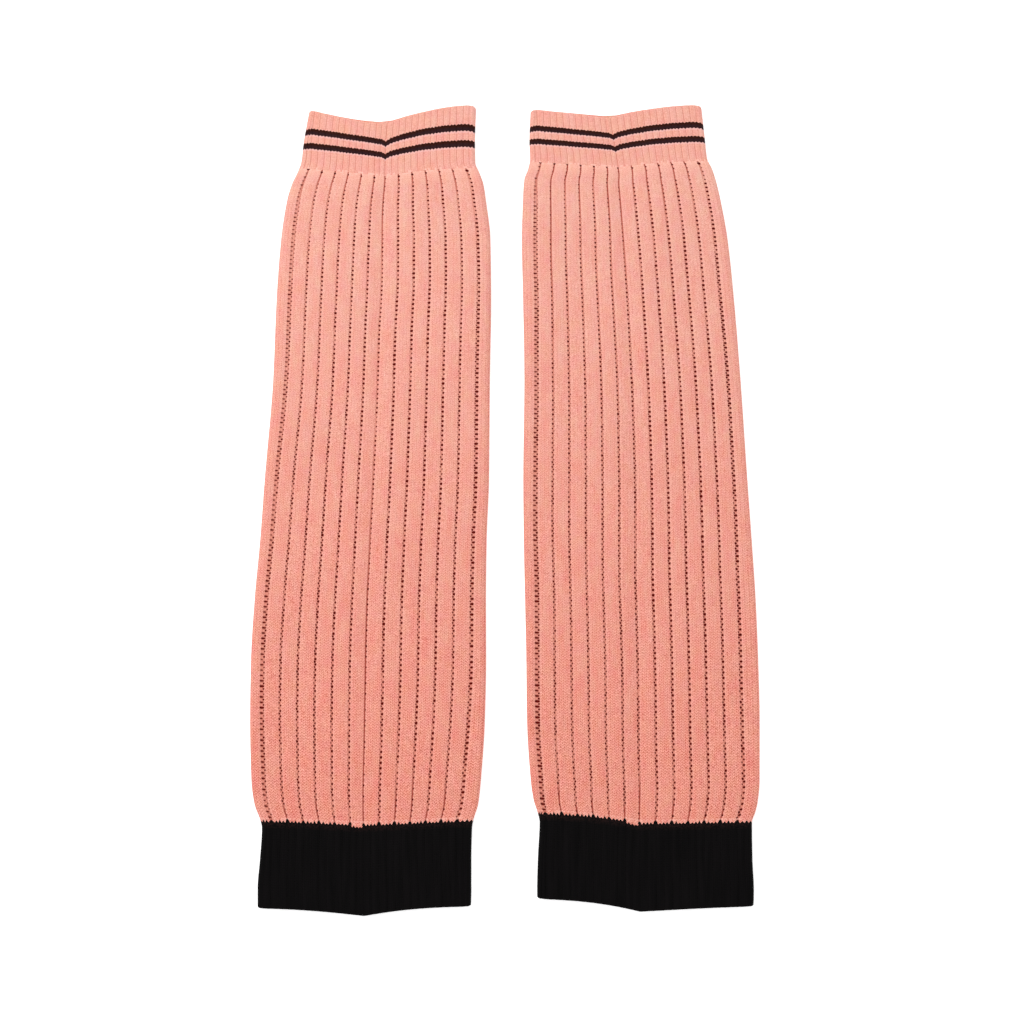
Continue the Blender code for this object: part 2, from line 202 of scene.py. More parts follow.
# The ladders of the upper layer, from left to right.
#   half    half its width, a third of the way down the body
#   pits    how clear its larger gaps are
#   minor   how clear the gaps on its other side are, near the hem
#   side    the side of its larger gaps: 1 right, -1 left
#   slit    how far below the cuff it stays a closed slit
#   close   how far above the band it closes to a slit again
#   tone    how much more shaded the threads are that cross it
Ladder = namedtuple("Ladder", "half pits minor side slit close tone")
LADDER_TABLE = {
    "left": table(Ladder, (
        (1.22, 0.95, 0.76, -1, 14, 2, 0.11), (0.72, 0.95, 0.76, 1, 9, 9, 0.02),
        (0.69, 1.01, 0.77, 1, 11, 2, 0.02), (0.68, 1.13, 0.77, 1, 12, 14, 0.00),
        (0.67, 1.24, 0.60, 1, 9, 4, 0.00), (0.72, 1.18, 0.48, 1, 18, 3, 0.00),
        (0.68, 0.94, 0.40, 1, 42, 170, 0.00), (0.80, 1.35, 0.55, 1, 5, 3, 0.00),
        (0.80, 1.34, 0.48, 1, 7, 18, 0.02), (0.78, 1.36, 0.48, 1, 9, 26, 0.00),
        (0.78, 1.29, 0.51, 1, 10, 8, 0.00), (0.72, 1.15, 0.63, 1, 12, 20, 0.00),
        (1.12, 1.34, 0.61, 1, 6, 2, 0.02),
    )),
    "right": table(Ladder, (
        (1.30, 1.14, 0.84, -1, 14, 2, 0.12), (0.68, 0.88, 0.69, -1, 62, 14, 0.10),
        (0.68, 0.95, 0.64, -1, 14, 6, 0.08), (0.68, 0.96, 0.64, -1, 26, 10, 0.06),
        (0.66, 0.95, 0.60, -1, 10, 4, 0.07), (0.68, 0.96, 0.66, -1, 28, 8, 0.10),
        (0.70, 1.01, 0.68, -1, 56, 24, 0.03), (0.82, 1.30, 0.54, 1, 14, 4, 0.02),
        (0.80, 1.34, 0.56, 1, 20, 12, 0.02), (0.79, 1.28, 0.59, 1, 24, 10, 0.03),
        (0.80, 1.34, 0.59, 1, 16, 6, 0.02), (0.76, 1.24, 0.63, 1, 9, 8, 0.02),
        (0.98, 1.28, 0.83, 1, 7, 2, 0.02),
    )),
}

# What changes down the body: distances below the highest cuff edge, and the values there.
COURSE_LENGTH = (35.0, 83.0, 117.0, 217.0, 283.0, 386.0), (1.08, 1.19, 1.235, 1.365, 1.45, 1.53)
GROWTH = (35.0, 90.0, 160.0, 280.0, 340.0, 390.0), (0.80, 0.90, 0.98, 1.08, 1.10, 1.04)  # of the ladders
TONE = (42.0, 100.0, 160.0, 330.0, 384.0), (0.12, 0.11, 0.10, 0.12, 0.14)  # painted shade of the threads across them
# How the gaps grow: a ladder's larger ones, those of the first ladder, those on a ladder's other side,
# the same on the wide ladders, and what the last ladder has of that.
MAIN_GROWTH = (45.0, 62.0, 150.0, 270.0, 380.0), (0.85, 0.95, 1.09, 0.99, 0.82)
FIRST_GROWTH = (42.0, 130.0, 220.0, 300.0, 380.0), (0.74, 0.84, 0.93, 1.22, 1.20)
MINOR_GROWTH = (60.0, 150.0, 200.0, 245.0, 290.0), (0.40, 0.60, 0.80, 0.93, 1.00)
WIDE_MINOR_GROWTH = (50.0, 110.0), (0.45, 1.00)
LAST_MINOR_GROWTH = (60.0, 110.0), (0.40, 1.00)

# How one gap differs from the next.
UNEVEN = 0.19               # of its own openness
MINOR_UNEVEN = 1.4          # how much more that is on a ladder's other side
LEAST_GAP, MOST_GAP = 0.2, 1.5
SPECK, SPECK_UNEVEN = 0.34, 0.26      # how open the gaps of a slit are, and how much they differ
SPECK_MORE = 0.15           # how much more open they are near the band
MOST_SPECK = 1.1
WEAK = 0.25                 # how much smaller the gaps are in the weak stretches of a ladder
LEAST_HOOK, MOST_HOOK = 0.5, 1.6      # how open a ladder's first gap is, just below the cuff
LAST_HOOK = 2.6             # how open the last ladder's is
HOOK_REACH = 2.6            # how far below the cuff it reaches
SHUT_REACH = 0.8            # how far above the band the gaps end

# Soft folds across the upper layer, as troughs.
#   x, y    the middle of the fold
#   length  how long it is
#   angle   of its run, in degrees from X
#   reach   how far its slopes go to either side
#   depth   how deep it is; below 0 it is a ridge
Fold = namedtuple("Fold", "x y length angle reach depth")
FOLDS = table(Fold, (
    (-75.0, 12.0, 130.0, 1.0, 4.0, 0.28), (76.0, 12.5, 128.0, -1.5, 4.0, 0.42),
    (-112.0, 140.0, 46.0, 62.0, 7.0, 0.35), (-40.0, 122.0, 60.0, -72.0, 8.0, 0.25),
    (104.0, 128.0, 52.0, -64.0, 8.0, 0.35), (40.0, 96.0, 70.0, 80.0, 9.0, 0.25),
    (-118.0, -60.0, 80.0, 84.0, 9.0, 0.30), (-62.0, -96.0, 70.0, 8.0, 9.0, -0.25),
    (92.0, -64.0, 84.0, -10.0, 10.0, -0.25), (58.0, -128.0, 60.0, 12.0, 8.0, 0.30),
    (-96.0, -140.0, 54.0, -14.0, 8.0, 0.28),
))


# ---------------------------------------------------------------- the tubes

def smooth(rows, column, down):
    """Read one column of a table at an array of distances, along a curve that never overshoots."""
    at = np.array([row.down for row in rows])
    value = np.array([getattr(row, column) for row in rows])
    run = np.diff(at)
    slope = np.diff(value) / run
    tangent = np.zeros(len(at))
    tangent[0], tangent[-1] = slope[0], slope[-1]
    same_way = slope[:-1] * slope[1:] > 0
    product = 2 * slope[:-1] * slope[1:]
    tangent[1:-1][same_way] = product[same_way] / (slope[:-1] + slope[1:])[same_way]
    inside = np.clip(down, at[0], at[-1])
    i = np.clip(np.searchsorted(at, inside, side="right") - 1, 0, len(run) - 1)
    t = (inside - at[i]) / run[i]
    return (
        value[i] * (1 + 2 * t) * (1 - t) ** 2
        + tangent[i] * run[i] * t * (1 - t) ** 2
        + value[i + 1] * t * t * (3 - 2 * t)
        - tangent[i + 1] * run[i] * t * t * (1 - t)
    )


def upright(values):
    """An array with one value for each row, as a column."""
    return np.asarray(values, dtype=float).reshape(-1, 1)


def rows_at(rows, downs):
    """Every column of a table at an array of distances down the tube."""
    kind = type(rows[0])
    return kind(upright(downs), *(upright(smooth(rows, name, downs)) for name in kind._fields[1:]))


def bow(share, shape):
    """How much of its dip a course has, at a share of the way from a folded side to the crease."""
    share = np.clip(share, 0, 1)
    return np.where(shape >= 1, share ** shape, 1 - (1 - share) ** (1 / shape))


class Tube:
    """The rows of one stretch of a pressed tube, at distances down it."""

    def __init__(self, leg, downs):
        self.leg = leg
        self.down = np.asarray(downs, dtype=float)
        self.from_top = upright(self.down - self.down[0])
        self.from_bottom = upright(self.down[-1] - self.down)
        self.course = rows_at(COURSES[leg], self.down)
        self.ribs = rows_at(RIBS[leg], self.down)
        at_left = self.down + self.course.left[:, 0]
        at_right = self.down + self.course.right[:, 0]
        self.left = upright(smooth(SIDES[leg], "left", at_left))
        self.right = upright(smooth(SIDES[leg], "right", at_right))
        self.width = self.right - self.left
        self.crease_x = self.left + self.ribs.crease * self.width
        self.top = self.course.height - CROWN_RISE
        self.radius = self.top / 2

    def every(self, step):
        """The same stretch with only every so many of its rows."""
        return Tube(self.leg, self.down[::step])

    def read(self, change):
        """A value that changes down the body, at each row."""
        return upright(np.interp(self.down, *change))

    def from_side(self, x):
        """How far x is from the nearer folded side."""
        return np.minimum(x - self.left, self.right - x)

    def turn(self, x, row):
        """How far round the tube one row of x is, from 0 at the left side to 1 at the right."""
        return (x[row] - self.left[row]) / self.width[row]

    def y(self, x, back):
        """Where the course of each row runs at x."""
        course = self.course
        across = (x - self.left) / self.width
        from_left = bow((x - self.left) / (self.crease_x - self.left), course.bow_left)
        from_right = bow((self.right - x) / (self.right - self.crease_x), course.bow_right)
        bowed = np.where(x < self.crease_x, from_left, from_right)
        lower = course.left + (course.right - course.left) * across
        lower = lower + (course.back if back else course.dip) * bowed
        lower = lower + course.corner * np.exp(-self.from_side(x) / CORNER_REACH)
        return PAIR_MIDDLE - course.down - lower

    def crease(self, x):
        """How deep the crease is at x."""
        return self.course.fold * np.exp(-(((x - self.crease_x) / CREASE_REACH) ** 2))

    def ladders(self):
        """Where the ladder columns cross each row, from left to right."""
        ribs = self.ribs
        beside_crease = ribs.crease - ribs.pinch
        left = [beside_crease - ribs.left * step for step in range(CREASE_LADDER - 2, -1, -1)]
        right = [ribs.crease + ribs.right * step for step in range(1, LADDERS - CREASE_LADDER + 1)]
        left[0] = left[0] - OUTER_RIB
        right[-1] = right[-1] + OUTER_RIB
        return self.left + np.hstack(left + [ribs.crease] + right) * self.width

    def stations(self):
        """The two ends of the level cloth, with the ladders between them."""
        return np.hstack([self.left + self.radius, self.ladders(), self.right - self.radius])


def soft_folds(x, y):
    """How far the listed folds press the upper layer down at each point."""
    pressed = np.zeros_like(x)
    for fold in FOLDS:
        angle = math.radians(fold.angle)
        along = (x - fold.x) * math.cos(angle) + (y - fold.y) * math.sin(angle)
        beside = (y - fold.y) * math.cos(angle) - (x - fold.x) * math.sin(angle)
        fade = np.clip(1 - (2 * along / fold.length) ** 2, 0, 1) ** 1.5
        pressed += fold.depth * fade * np.exp(-((beside / fold.reach) ** 2))
    return pressed


def settled(distance):
    """0 where the cloth is held, and 1 from a little further off."""
    return np.clip(distance / SETTLE_REACH, 0, 1)


def puff(tube, x, y):
    """The gentle unevenness of cloth that lies loose, away from the folded sides."""
    broad = np.sin(x / 13.1 + y / 37.0 + 0.7) * np.sin(y / 21.7 - x / 41.0)
    fine = np.sin(x / 5.9 - y / 9.1) * np.sin(y / 7.3 + x / 17.0 + 1.1)
    return (BROAD_PUFF * broad + FINE_PUFF * fine) * settled(tube.from_side(x))


# ---------------------------------------------------------------- building a shell

class Shell:
    """Vertices and faces of one piece, with its map of wales and courses and its point values."""

    def __init__(self):
        self.points = []
        self.values = {"dark": [], "rim": [], "left": [], "right": [], "top": []}
        self.faces = []
        self.maps = []

    def add_points(self, layer, values):
        """Add a layer's points, and return their numbers in the same layout."""
        first = len(self.points)
        self.points += np.stack(layer[:3], axis=-1).reshape(-1, 3).tolist()
        for name, whole in self.values.items():
            whole += np.broadcast_to(values.get(name, 0.0), layer.x.shape).ravel().tolist()
        return first + np.arange(layer.x.size).reshape(layer.x.shape)

    def add_grid(self, ids, places):
        """Skin a block of points whose rows run down and whose columns run clockwise, seen from +Y."""
        corners = (np.s_[:-1, :-1], np.s_[1:, :-1], np.s_[1:, 1:], np.s_[:-1, 1:])
        self.faces += np.stack([ids[c] for c in corners], axis=-1).reshape(-1, 4).tolist()
        self.maps += np.stack([places[c] for c in corners], axis=-2).reshape(-1, 2).tolist()

    def add_face(self, ids, places, forward):
        """Add one face, whose corners are given clockwise or, forward, the other way round."""
        order = 1 if forward else -1
        self.faces.append([int(v) for v in ids[::order]])
        self.maps += [list(place) for place in places[::order]]

    def zip_sides(self, dense, dense_places, coarse, coarse_places, step, outward):
        """Join a column of close rows to a column that has only every so many of them."""
        for i in range(len(coarse) - 1):
            run = np.s_[step * i:step * (i + 1) + 1]
            ids = [*dense[run], coarse[i + 1], coarse[i]]
            places = [*dense_places[run], coarse_places[i + 1], coarse_places[i]]
            self.add_face(ids, places, outward)

    def rim_strip(self, outer, inner, faces_hem):
        """Close a cloth edge with triangles between two rings. Each is (numbers, turns, places)."""
        rings = outer, inner
        following = [list(turns[1:]) + [2.0] for _, turns, _ in rings]
        at = [0, 0]
        while at[0] < len(outer[0]) or at[1] < len(inner[0]):
            corners = [(0, at[0]), (1, at[1])]
            inner_done = at[1] == len(inner[0])
            outer_next = inner_done or (at[0] < len(outer[0]) and following[0][at[0]] <= following[1][at[1]])
            ring = 0 if outer_next else 1
            at[ring] += 1
            corners.append((ring, at[ring]))
            ids = [rings[r][0][k % len(rings[r][0])] for r, k in corners]
            places = [rings[r][2][k % len(rings[r][0])] for r, k in corners]
            self.add_face(ids, places, faces_hem)

    def make(self, name, finish):
        """The shell as an object of one finish."""
        mesh = bpy.data.meshes.new(name)
        mesh.from_pydata((np.array(self.points) * MM).tolist(), [], self.faces)
        layer = mesh.uv_layers.new(name="knit")
        layer.data.foreach_set("uv", np.array(self.maps, dtype=np.float32).ravel())
        for label, values in self.values.items():
            attribute = mesh.attributes.new(label, "FLOAT", "POINT")
            attribute.data.foreach_set("value", np.array(values, dtype=np.float32))
        mesh.materials.append(finish)
        mesh.shade_smooth()
        mesh.set_sharp_from_angle(angle=math.radians(SHARP_ANGLE))
        mesh.validate()
        return add_object(name, mesh)


def add_object(name, data, place=(0.0, 0.0, 0.0)):
    """Put a new object in the scene."""
    thing = bpy.data.objects.new(name, data)
    thing.location = place
    bpy.context.scene.collection.objects.link(thing)
    return thing


# A block of points, left to right, with the wale and the course of each.
Layer = namedtuple("Layer", "x y z places")

# The columns of points across a layer, from left to right, each with a value for every row.
#   x            where it is
#   lower        how deep it lies in the cloth's face; below 0, how far it stands out
#   dark         how shaded it is
#   rim          on the body, how much painted highlight it has along a ladder's edge; on a cuff or a band, how far it is in a groove of a fine rib
#   left, right  how open the gap is that is nearest on either side of its ladder
Spot = namedtuple("Spot", "x lower dark rim left right", defaults=[0.0] * 5)


def stacked(spots):
    """A block for each field of a list of spots, with one column for each spot."""
    zero = np.zeros_like(spots[0].x)
    return Spot(*(np.hstack([part + zero for part in parts]) for parts in zip(*spots)))


def knit_places(tube, unrolled, courses, back, widths):
    """The wale and the course of each point: ladders lie at every fourth wale, and so do the folded sides.

    widths are half the width of each ladder, and what that half takes of the map.
    """
    ladders = tube.ladders()
    reach = tube.radius * (math.pi / 2 - 1)
    stops, wales = [tube.left - reach], [0]
    for k, (half, share) in enumerate(widths):
        middle = WALES_PER_RIB * (k + 1)
        stops += [ladders[:, k:k + 1] - half, ladders[:, k:k + 1] + half]
        wales += [middle - share, middle + share]
    stops = np.hstack(stops + [tube.right + reach])
    wales.append(LAYER_WALES)
    wale = np.array([np.interp(row, at, wales) for row, at in zip(unrolled, stops)])
    if back:
        wale = 2 * LAYER_WALES - wale
    return np.stack([wale, np.broadcast_to(upright(courses), wale.shape)], axis=-1)


PLAIN_LADDERS = [(PLAIN_HALF, PLAIN_SHARE)] * LADDERS


def ladder_widths(leg):
    """Half the width of each ladder of the body, and what that takes of the map."""
    return [(ladder.half, MAP_SCALE * ladder.half) for ladder in LADDER_TABLE[leg]]


def quarter(steps):
    """The angles of a quarter round, from the level cloth out to the folded side."""
    return np.linspace(0, math.pi / 2, steps + 1)[1:]


def rounded(tube, x, z, steps, inset, radius, back):
    """x and z of a layer with its rounded sides, which lie a little in from the folded sides."""
    offset = inset + radius * (1 - np.sin(quarter(steps)))
    side_z = inset + radius + radius * np.cos(quarter(steps)) * (-1 if back else 1)
    x = np.hstack([(tube.left + offset)[:, ::-1], x, tube.right - offset])
    return x, np.hstack([side_z[:, ::-1], z, side_z])


def outer_layer(tube, x, z, courses, back, widths):
    """One layer of the outside, made from its level cloth."""
    roll = tube.radius * quarter(SIDE_STEPS)
    left_roll = (tube.left + tube.radius - roll)[:, ::-1]
    unrolled = np.hstack([left_roll, x, tube.right - tube.radius + roll])
    x, z = rounded(tube, x, z, SIDE_STEPS, 0.0, tube.radius, back)
    return Layer(x, tube.y(x, back), z, knit_places(tube, unrolled, courses, back, widths))


def inner_layer(tube, courses, back):
    """One layer of the plain inside."""
    high = tube.top - RIB_RISE - WALL
    radius = (high - WALL) / 2
    start, end = tube.left + WALL + radius, tube.right - WALL - radius
    x = start + (end - start) * np.linspace(0, 1, INNER_POINTS)
    z = np.full_like(x, WALL) if back else high - tube.crease(x)
    x, z = rounded(tube, x, z, INNER_SIDE_STEPS, WALL, radius, back)
    return Layer(x, tube.y(x, back), z, knit_places(tube, x, courses, back, PLAIN_LADDERS))


def with_sides(values):
    """Point values of the level cloth, with none on its rounded sides."""
    return np.pad(values, ((0, 0), (SIDE_STEPS, SIDE_STEPS)))


def run_on(layer):
    """A lower layer as it runs on from the right side, without the two columns at the sides."""
    return Layer(*(block[:, -2:0:-1] for block in layer))


def close_shell(tube, courses, upper, values, under, step):
    """A shell of both layers, zipped at the folded sides, with its inside and its two edges."""
    shell = Shell()
    top = shell.add_points(upper, values)
    shell.add_grid(top, upper.places)
    under = run_on(under)
    low = shell.add_points(under, {})
    shell.add_grid(low, under.places)
    left_places = upper.places[:, 0] + np.array([2 * LAYER_WALES, 0])
    shell.zip_sides(top[:, -1], upper.places[:, -1], low[:, 0], under.places[:, 0], step, False)
    shell.zip_sides(top[:, 0], left_places, low[:, -1], under.places[:, -1], step, True)

    inside = Tube(tube.leg, np.linspace(tube.down[0], tube.down[-1], INNER_ROWS))
    inside_courses = np.interp(inside.down, tube.down, courses)
    ceiling = inner_layer(inside, inside_courses, False)
    floor = run_on(inner_layer(inside, inside_courses, True))
    ring = Layer(*(np.concatenate(blocks, axis=1) for blocks in zip(ceiling, floor)))
    ids = shell.add_points(ring, {})
    shell.add_grid(*(np.concatenate([block, block[:, :1]], axis=1)[:, ::-1] for block in (ids, ring.places)))

    for row, faces_hem in ((0, False), (-1, True)):
        outer_turns = np.concatenate([tube.turn(upper.x, row), 2 - tube.turn(under.x, row)])
        outer_places = np.concatenate([upper.places[row], under.places[row]])
        outer = np.concatenate([top[row], low[row]]), outer_turns, outer_places
        inner_turns = np.concatenate([inside.turn(ceiling.x, row), 2 - inside.turn(floor.x, row)])
        shell.rim_strip(outer, (ids[row], inner_turns, ring.places[row]), faces_hem)
    return shell


# ---------------------------------------------------------------- the body

def body_rows(leg):
    """Distances down the tube of the body's rows, and the course that each lies on, from the band up."""
    first, last = COURSES[leg][CUFF_END].down, COURSES[leg][BAND_START].down
    fine = np.linspace(first, last, COURSE_SAMPLES)
    length = np.interp(fine, *COURSE_LENGTH)
    gone = np.concatenate([[0.0], np.cumsum(np.diff(fine) / ((length[1:] + length[:-1]) / 2))])
    turns = round(gone[-1] / 2)
    count = ROWS_PER_TURN * turns + 1
    downs = np.interp(np.linspace(0, gone[-1], count), gone, fine)
    courses = 2.0 * turns * (1 - np.linspace(0, 1, count))
    return downs, courses


def each_ladder(leg, name):
    """One column of a leg's table of ladders, with a value for each ladder."""
    return np.array([[getattr(ladder, name) for ladder in LADDER_TABLE[leg]]], dtype=float)


def by_turn(values, rows, start):
    """Repeat one value for each turn of the ladders' threads. start is the row before its gap."""
    turn = (np.arange(rows) - start) // ROWS_PER_TURN
    return values[turn + 1]


def slit_share(leg, tube):
    """How far each ladder is closed to a slit at each row, near the cuff and near the band."""
    near_cuff = np.clip(SLIT_END - tube.from_top / each_ladder(leg, "slit"), 0, 1) ** SLIT_CURVE
    near_band = np.clip(SLIT_END - tube.from_bottom / each_ladder(leg, "close"), 0, 1) ** SLIT_CURVE
    return near_cuff, near_band


def usual_gaps(leg, tube):
    """How open the gaps of each ladder usually are at each row: its larger ones, and the others."""
    down, phase = upright(tube.down), np.arange(LADDERS)
    weak = np.sin(down / 7.3 + 2.1 * phase) * np.sin(down / 19.0 + 1.3 * phase)
    larger = each_ladder(leg, "pits") * (1 - WEAK * np.clip(weak, 0, 1)) * tube.read(MAIN_GROWTH)
    larger[:, :1] *= tube.read(FIRST_GROWTH) / tube.read(MAIN_GROWTH)
    wide = np.isin(phase, WIDE_LADDERS)
    growth = np.where(wide, tube.read(WIDE_MINOR_GROWTH), tube.read(MINOR_GROWTH))
    smaller = each_ladder(leg, "minor") * growth
    smaller[:, -1:] *= tube.read(LAST_MINOR_GROWTH)
    return larger, smaller


def gap_sizes(leg, tube, near_cuff, near_band, random):
    """How open the gaps of each ladder are at each row, from 0 up, on its left and on its right."""
    rows = len(tube.down)
    turns = rows // ROWS_PER_TURN + 3
    larger, smaller = usual_gaps(leg, tube)
    share = np.maximum(near_cuff, near_band)
    hook = random.uniform(LEAST_HOOK, MOST_HOOK, (1, LADDERS))
    hook[:, -1] = LAST_HOOK
    hook = hook * np.clip(HOOK_REACH - tube.from_top, 0, 1)
    shut = np.clip(tube.from_bottom / SHUT_REACH, 0, 1)
    to_right = each_ladder(leg, "side") > 0
    sizes = []
    for is_larger, start in ((~to_right, LEFT_GAP_ROW), (to_right, RIGHT_GAP_ROW)):
        spread = UNEVEN * np.where(is_larger, 1.0, MINOR_UNEVEN)
        uneven = 1 + spread * random.standard_normal((turns, LADDERS))
        specks = SPECK + SPECK_UNEVEN * random.standard_normal((turns, LADDERS))
        uneven, specks = by_turn(uneven, rows, start), by_turn(specks, rows, start)
        size = np.where(is_larger, larger, smaller) * np.clip(uneven, LEAST_GAP, MOST_GAP)
        in_slit = np.clip(specks + SPECK_MORE * near_band, 0, MOST_SPECK) * is_larger
        size = size * (1 - share) + in_slit * share
        sizes.append(np.maximum(size, hook * is_larger) * shut)
    return sizes


# The two edges of a ladder.
#   shoulder, wall  how deep the shoulder of its rib and the top of its wall are
#   tone            how much of the threads' shade the wall has
#   shoulder_rim, wall_rim  how much painted highlight the two have, more on a ladder's right edge, which
#   faces the light
Edge = namedtuple("Edge", "shoulder wall tone shoulder_rim wall_rim")
EDGES = {-1: Edge(0.07, 0.24, 0.2, 0.2, 0.3), 1: Edge(0.05, 0.22, 0.1, 0.6, 0.7)}


def ladder_edge(side, middle, half, pit, floor, channel, tone, sizes):
    """The spots from a ladder's gaps out to the level part of its rib, on one side."""
    edge = EDGES[side]
    return [
        Spot(middle + side * pit, floor, tone, 0.0, *sizes),
        Spot(middle + side * 0.86 * half, 0.85 * channel, 0.8 * tone, 0.0, *sizes),
        Spot(middle + side * half, edge.wall, edge.tone * tone, edge.wall_rim, *sizes),
        Spot(middle + side * (half + EDGE_SHOULDER), edge.shoulder, 0.0, edge.shoulder_rim, *sizes),
        Spot(middle + side * (half + RIB_SHOULDER)),
    ]


def body_spots(leg, tube, random):
    """The spots across the ribs and ladders of the upper layer."""
    near_cuff, near_band = slit_share(leg, tube)
    share = np.maximum(near_cuff, near_band)
    all_sizes = gap_sizes(leg, tube, near_cuff, near_band, random)
    tones = each_ladder(leg, "tone") + tube.read(TONE) + SLIT_TONE * near_cuff + LINE_TONE * near_band
    halves = each_ladder(leg, "half") * tube.read(GROWTH) * (1 - share) + SLIT_HALF * share
    channels = CHANNEL_DEPTH * (1 - share) + SLIT_DEPTH * share
    row = upright(np.arange(len(tube.down)))
    wave = EDGE_WAVE * (1 - 2 * (row % 2))
    on_left = row % ROWS_PER_TURN < 2

    stations = tube.stations()
    spots = [Spot(stations[:, :1])]
    for k in range(LADDERS):
        pick = np.s_[:, k:k + 1]
        middle, after = stations[:, k + 1:k + 2], stations[:, k + 2:k + 3]
        half, channel, tone = halves[pick], channels[pick], tones[pick]
        sizes = [size[pick] for size in all_sizes]
        edges = []
        for side, size, on_side in ((-1, sizes[0], on_left), (1, sizes[1], ~on_left)):
            gap = np.minimum(size, FULL_PIT) * on_side
            wall = half + wave + PIT_BULGE * gap
            floor = channel + PIT_DEPTH * gap
            edges.append(ladder_edge(side, middle, wall, PIT_HALF * half, floor, channel, tone, sizes))
        if k == 0:
            spots.append(Spot((stations[:, :1] + edges[0][-1].x) / 2, -0.6 * CROWN_RISE))
        spots += edges[0][::-1]
        if k in WIDE_LADDERS:
            spots.append(Spot(middle, 0.6 * channel, 0.12 * tone, 0.0, *sizes))
        spots += edges[1]
        crown = 0.6 if k == LADDERS - 1 else 1.0
        spots.append(Spot((middle + after) / 2, -crown * CROWN_RISE))
    spots.append(Spot(stations[:, -1:]))
    return stacked(spots)


def body_upper(leg, tube, courses, random):
    """The upper layer of a body, and its point values."""
    spots = body_spots(leg, tube, random)
    y = tube.y(spots.x, False)
    calm = settled(np.minimum(tube.from_top, tube.from_bottom))
    folded = soft_folds(spots.x, y) * settled(tube.from_side(spots.x))
    z = tube.top - spots.lower - tube.crease(spots.x) + (puff(tube, spots.x, y) - folded) * calm
    values = {name: with_sides(getattr(spots, name)) for name in ("dark", "rim", "left", "right")}
    values["top"] = np.clip(1 - tube.from_top / TOP_REACH, 0, 1)
    return outer_layer(tube, spots.x, z, courses, False, ladder_widths(leg)), values


def body_under(leg, tube, courses):
    """The lower layer, which lies flat, with a shallow furrow for each ladder."""
    stations = tube.stations()
    spots = [Spot(stations[:, :1])]
    for k in range(LADDERS):
        before, middle = stations[:, k:k + 1], stations[:, k + 1:k + 2]
        spots += [Spot((before + middle) / 2), Spot(middle - UNDER_HALF)]
        spots += [Spot(middle, UNDER_DEPTH), Spot(middle + UNDER_HALF)]
    end = stations[:, -1:]
    spots = stacked(spots + [Spot((middle + end) / 2), Spot(end)])
    return outer_layer(tube, spots.x, spots.lower, courses, True, ladder_widths(leg))


def make_body(leg, finish):
    """The body of one leg warmer, and its tube."""
    random = np.random.default_rng(SEED + (leg == "right"))
    downs, courses = body_rows(leg)
    tube = Tube(leg, downs)
    upper, values = body_upper(leg, tube, courses, random)
    under = body_under(leg, tube.every(ROWS_PER_TURN), courses[::ROWS_PER_TURN])
    shell = close_shell(tube, courses, upper, values, under, ROWS_PER_TURN)
    return shell.make(f"{leg}_body_knit", finish), tube


# ---------------------------------------------------------------- the cuffs and bands

# Across the groove between two fine ribs: how far from its middle, how deep, and how far in the groove.
Groove = namedtuple("Groove", "x lower rim")
GROOVE = (
    Groove(-0.60, 0.03, 0.0),
    Groove(-0.22, 0.16, 0.1),
    Groove(0.0, FINE_RIB_RISE, 1.0),
    Groove(0.22, 0.16, 0.1),
    Groove(0.60, 0.03, 0.0),
)


def fine_grooves(tube):
    """Where the grooves between the fine ribs cross each row: at the ladders and between them."""
    ladders = tube.ladders()
    bounds = np.hstack([tube.left, ladders, tube.right])
    grooves = np.zeros((len(ladders), 2 * LADDERS + 1))
    grooves[:, ::2] = (bounds[:, :-1] + bounds[:, 1:]) / 2
    grooves[:, 1::2] = ladders
    return grooves


def ribbed_layer(tube, courses, back, drop, relief):
    """One layer of fine ribs, and how far each point is in a groove.

    relief fades the ribs out row by row, and drop rounds off a free edge.
    """
    grooves = fine_grooves(tube)
    start, end = tube.left + tube.radius, tube.right - tube.radius
    spots = [Spot(start)]
    for k in range(grooves.shape[1]):
        middle = grooves[:, k:k + 1]
        if k > 0:
            spots.append(Spot((grooves[:, k - 1:k] + middle) / 2, -0.5 * CROWN_RISE))
        spots += [Spot(middle + groove.x, groove.lower, rim=groove.rim) for groove in GROOVE]
    spots = stacked(spots + [Spot(end)])
    x = np.maximum.accumulate(np.clip(spots.x, start, end), axis=1)
    sunk = spots.lower * relief
    if back:
        z = 0.7 * sunk.clip(0, None) + HEM_LIFT * drop
    else:
        uneven = FINE_RIB_PUFF * puff(tube, x, tube.y(x, False)) * relief
        z = tube.top - sunk - tube.crease(x) + uneven - HEM_DROP * drop
    return outer_layer(tube, x, z, courses, back, PLAIN_LADDERS), with_sides(spots.rim * relief)


def edge_rows(first, last, count, free_top):
    """Evenly spaced rows, with a few more in the rounding of the free edge."""
    downs = np.linspace(first, last, count)
    closer = HEM_ROUNDING * (1 - np.cos(math.pi / 2 * np.arange(HEM_ROWS + 1) / HEM_ROWS))
    if free_top:
        return np.concatenate([first + closer, downs[downs > first + HEM_ROUNDING]])
    return np.concatenate([downs[downs < last - HEM_ROUNDING], last - closer[::-1]])


